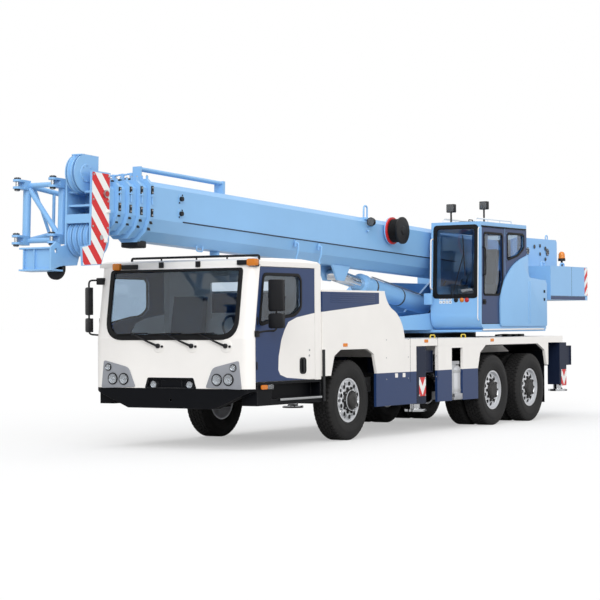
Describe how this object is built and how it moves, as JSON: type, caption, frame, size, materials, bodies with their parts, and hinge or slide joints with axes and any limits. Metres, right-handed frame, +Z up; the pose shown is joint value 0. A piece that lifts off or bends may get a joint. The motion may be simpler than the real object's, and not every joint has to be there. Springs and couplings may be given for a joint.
{
  "type": "mobile crane",
  "caption": "Truck-mounted telescopic crane with driver's cab, slewing upper, operator's cab, sliding outriggers, luffing boom and stowed lattice jib.",
  "frame": {"origin": "middle of the crane's plan, on the ground", "axes": "+X forward, +Y to the left, +Z up"},
  "size_m": [12.9503, 2.9281, 3.63],
  "materials": {
    "boom_blue": "gloss paint",
    "cab_white": "gloss paint",
    "slate_blue": "satin paint",
    "navy": "satin paint",
    "chassis_black": "satin paint",
    "deck_grey": "tread plate, painted",
    "tyre": "matte",
    "rim": "silver paint",
    "glass": "clear",
    "trim_black": "moulded",
    "seat": "woven",
    "tank": "brushed",
    "rod_chrome": "polished",
    "cast": "rough",
    "drum": "rope wound on a painted drum"
  },
  "bodies": {
    "carrier": {"chassis_frame": "chassis_black", "engine_block": "cast", "axles_and_springs": "chassis_black", "cab_front": "cab_white", "cab_windscreen": "glass", "cab_tub": "cab_white", "cab_roof": "cab_white", "bumper_and_steps": "navy", "cab_interior": "seat", "cab_mirror_right": "trim_black", "engine_housing": "cab_white", "deck": "cab_white", "side_panels": "slate_blue", "mudguards": "chassis_black", "tanks": "tank", "outrigger_boxes": "navy", "slew_ring": "chassis_black"},
    "door_left": {"cab_door_left": "slate_blue", "cab_mirror_left": "trim_black"},
    "door_right": {"cab_door_right": "slate_blue"},
    "knuckle_left": {"steering_knuckle_left": "chassis_black"},
    "knuckle_right": {"steering_knuckle_right": "chassis_black"},
    "front_wheel_left": {"front_tyre_left": "tyre", "front_rim_left": "rim"},
    "front_wheel_right": {"front_tyre_right": "tyre", "front_rim_right": "rim"},
    "rear_wheels_1_left": {"rear_tyres_1_left": "tyre", "rear_rims_1_left": "rim"},
    "rear_wheels_1_right": {"rear_tyres_1_right": "tyre", "rear_rims_1_right": "rim"},
    "rear_wheels_2_left": {"rear_tyres_2_left": "tyre", "rear_rims_2_left": "rim"},
    "rear_wheels_2_right": {"rear_tyres_2_right": "tyre", "rear_rims_2_right": "rim"},
    "beam_front_left": {"outrigger_beam_front_left": "navy"},
    "jack_front_left": {"outrigger_jack_front_left": "rod_chrome"},
    "beam_front_right": {"outrigger_beam_front_right": "navy"},
    "jack_front_right": {"outrigger_jack_front_right": "rod_chrome"},
    "beam_rear_left": {"outrigger_beam_rear_left": "navy"},
    "jack_rear_left": {"outrigger_jack_rear_left": "rod_chrome"},
    "beam_rear_right": {"outrigger_beam_rear_right": "navy"},
    "jack_rear_right": {"outrigger_jack_rear_right": "rod_chrome"},
    "upper": {"turntable": "boom_blue", "counterweight": "boom_blue", "winch_drums": "drum", "operator_cab": "boom_blue", "operator_cab_glass": "glass", "operator_seat": "seat", "upper_housings": "boom_blue"},
    "operator_door": {"operator_cab_door": "slate_blue"},
    "boom_1": {"boom_base": "boom_blue", "jib": "boom_blue", "boom_fittings": "boom_blue"},
    "boom_2": {"boom_section_2": "boom_blue"},
    "boom_3": {"boom_section_3": "boom_blue"},
    "boom_4": {"boom_section_4": "boom_blue"},
    "boom_5": {"boom_head": "boom_blue", "head_sheaves": "boom_blue"},
    "luff_barrel": {"luff_barrel": "boom_blue"},
    "luff_rod": {"luff_rod": "rod_chrome"}
  },
  "joints": [
    {"name": "steer_left", "type": "hinge", "parent": "carrier", "child": "knuckle_left", "pos_m": [1.745, 0.93, 0.5425], "axis": [0, 0, 1], "range_deg": [-34, 34]},
    {"name": "front_wheel_spin_left", "type": "hinge", "parent": "knuckle_left", "child": "front_wheel_left", "pos_m": [1.745, 1.03, 0.5425], "axis": [0, 1, 0], "continuous": true},
    {"name": "steer_right", "type": "hinge", "parent": "carrier", "child": "knuckle_right", "pos_m": [1.745, -0.93, 0.5425], "axis": [0, 0, 1], "range_deg": [-34, 34]},
    {"name": "front_wheel_spin_right", "type": "hinge", "parent": "knuckle_right", "child": "front_wheel_right", "pos_m": [1.745, -1.03, 0.5425], "axis": [0, 1, 0], "continuous": true},
    {"name": "rear_wheel_spin_1_left", "type": "hinge", "parent": "carrier", "child": "rear_wheels_1_left", "pos_m": [-2.605, 0.925, 0.5425], "axis": [0, 1, 0], "continuous": true},
    {"name": "rear_wheel_spin_1_right", "type": "hinge", "parent": "carrier", "child": "rear_wheels_1_right", "pos_m": [-2.605, -0.925, 0.5425], "axis": [0, 1, 0], "continuous": true},
    {"name": "rear_wheel_spin_2_left", "type": "hinge", "parent": "carrier", "child": "rear_wheels_2_left", "pos_m": [-3.955, 0.925, 0.5425], "axis": [0, 1, 0], "continuous": true},
    {"name": "rear_wheel_spin_2_right", "type": "hinge", "parent": "carrier", "child": "rear_wheels_2_right", "pos_m": [-3.955, -0.925, 0.5425], "axis": [0, 1, 0], "continuous": true},
    {"name": "door_left_hinge", "type": "hinge", "parent": "carrier", "child": "door_left", "pos_m": [4.167, 1.225, 1.5], "axis": [0, 0, -1], "range_deg": [0, 65]},
    {"name": "door_right_hinge", "type": "hinge", "parent": "carrier", "child": "door_right", "pos_m": [4.167, -1.225, 1.5], "axis": [0, 0, 1], "range_deg": [0, 65]},
    {"name": "outrigger_out_front_left", "type": "slide", "parent": "carrier", "child": "beam_front_left", "axis": [0, 1, 0], "range_m": [0, 1.85]},
    {"name": "outrigger_down_front_left", "type": "slide", "parent": "beam_front_left", "child": "jack_front_left", "axis": [0, 0, -1], "range_m": [0, 0.43]},
    {"name": "outrigger_out_front_right", "type": "slide", "parent": "carrier", "child": "beam_front_right", "axis": [0, -1, 0], "range_m": [0, 1.85]},
    {"name": "outrigger_down_front_right", "type": "slide", "parent": "beam_front_right", "child": "jack_front_right", "axis": [0, 0, -1], "range_m": [0, 0.43]},
    {"name": "outrigger_out_rear_left", "type": "slide", "parent": "carrier", "child": "beam_rear_left", "axis": [0, 1, 0], "range_m": [0, 1.85]},
    {"name": "outrigger_down_rear_left", "type": "slide", "parent": "beam_rear_left", "child": "jack_rear_left", "axis": [0, 0, -1], "range_m": [0, 0.56]},
    {"name": "outrigger_out_rear_right", "type": "slide", "parent": "carrier", "child": "beam_rear_right", "axis": [0, -1, 0], "range_m": [0, 1.85]},
    {"name": "outrigger_down_rear_right", "type": "slide", "parent": "beam_rear_right", "child": "jack_rear_right", "axis": [0, 0, -1], "range_m": [0, 0.56]},
    {"name": "slew", "type": "hinge", "parent": "carrier", "child": "upper", "pos_m": [-2.855, 0, 1.425], "axis": [0, 0, 1], "continuous": true},
    {"name": "operator_door_hinge", "type": "hinge", "parent": "upper", "child": "operator_door", "pos_m": [-2.997, 1.245, 2.3], "axis": [0, 0, 1], "range_deg": [0, 75]},
    {"name": "boom_luff", "type": "hinge", "parent": "upper", "child": "boom_1", "pos_m": [-4.355, 0, 2.75], "axis": [0, -1, 0], "range_deg": [0, 75.5]},
    {"name": "boom_extend_2", "type": "slide", "parent": "boom_1", "child": "boom_2", "axis": [0.9992, 0, 0.041], "range_m": [0, 7]},
    {"name": "boom_extend_3", "type": "slide", "parent": "boom_2", "child": "boom_3", "axis": [0.9992, 0, 0.041], "range_m": [0, 7]},
    {"name": "boom_extend_4", "type": "slide", "parent": "boom_3", "child": "boom_4", "axis": [0.9992, 0, 0.041], "range_m": [0, 7]},
    {"name": "boom_extend_5", "type": "slide", "parent": "boom_4", "child": "boom_5", "axis": [0.9992, 0, 0.041], "range_m": [0, 7]},
    {"name": "luff_barrel_swing", "type": "hinge", "parent": "upper", "child": "luff_barrel", "pos_m": [-3.255, 0, 1.75], "axis": [0, -1, 0], "range_deg": [0, 75.92]},
    {"name": "luff_rod_slide", "type": "slide", "parent": "luff_barrel", "child": "luff_rod", "axis": [0.9876, 0, 0.1573], "range_m": [0, 1.825]}
  ],
  "couplings": [
    {"joint": "steer_right", "follows": "steer_left", "ratio": 1},
    {"joint": "luff_barrel_swing", "follows": "boom_luff", "ratio": 1.0042},
    {"joint": "luff_rod_slide", "follows": "boom_luff", "m_per_rad": 1.3812},
    {"joint": "boom_extend_3", "follows": "boom_extend_2", "ratio": 1},
    {"joint": "boom_extend_4", "follows": "boom_extend_2", "ratio": 1},
    {"joint": "boom_extend_5", "follows": "boom_extend_2", "ratio": 1}
  ]
}
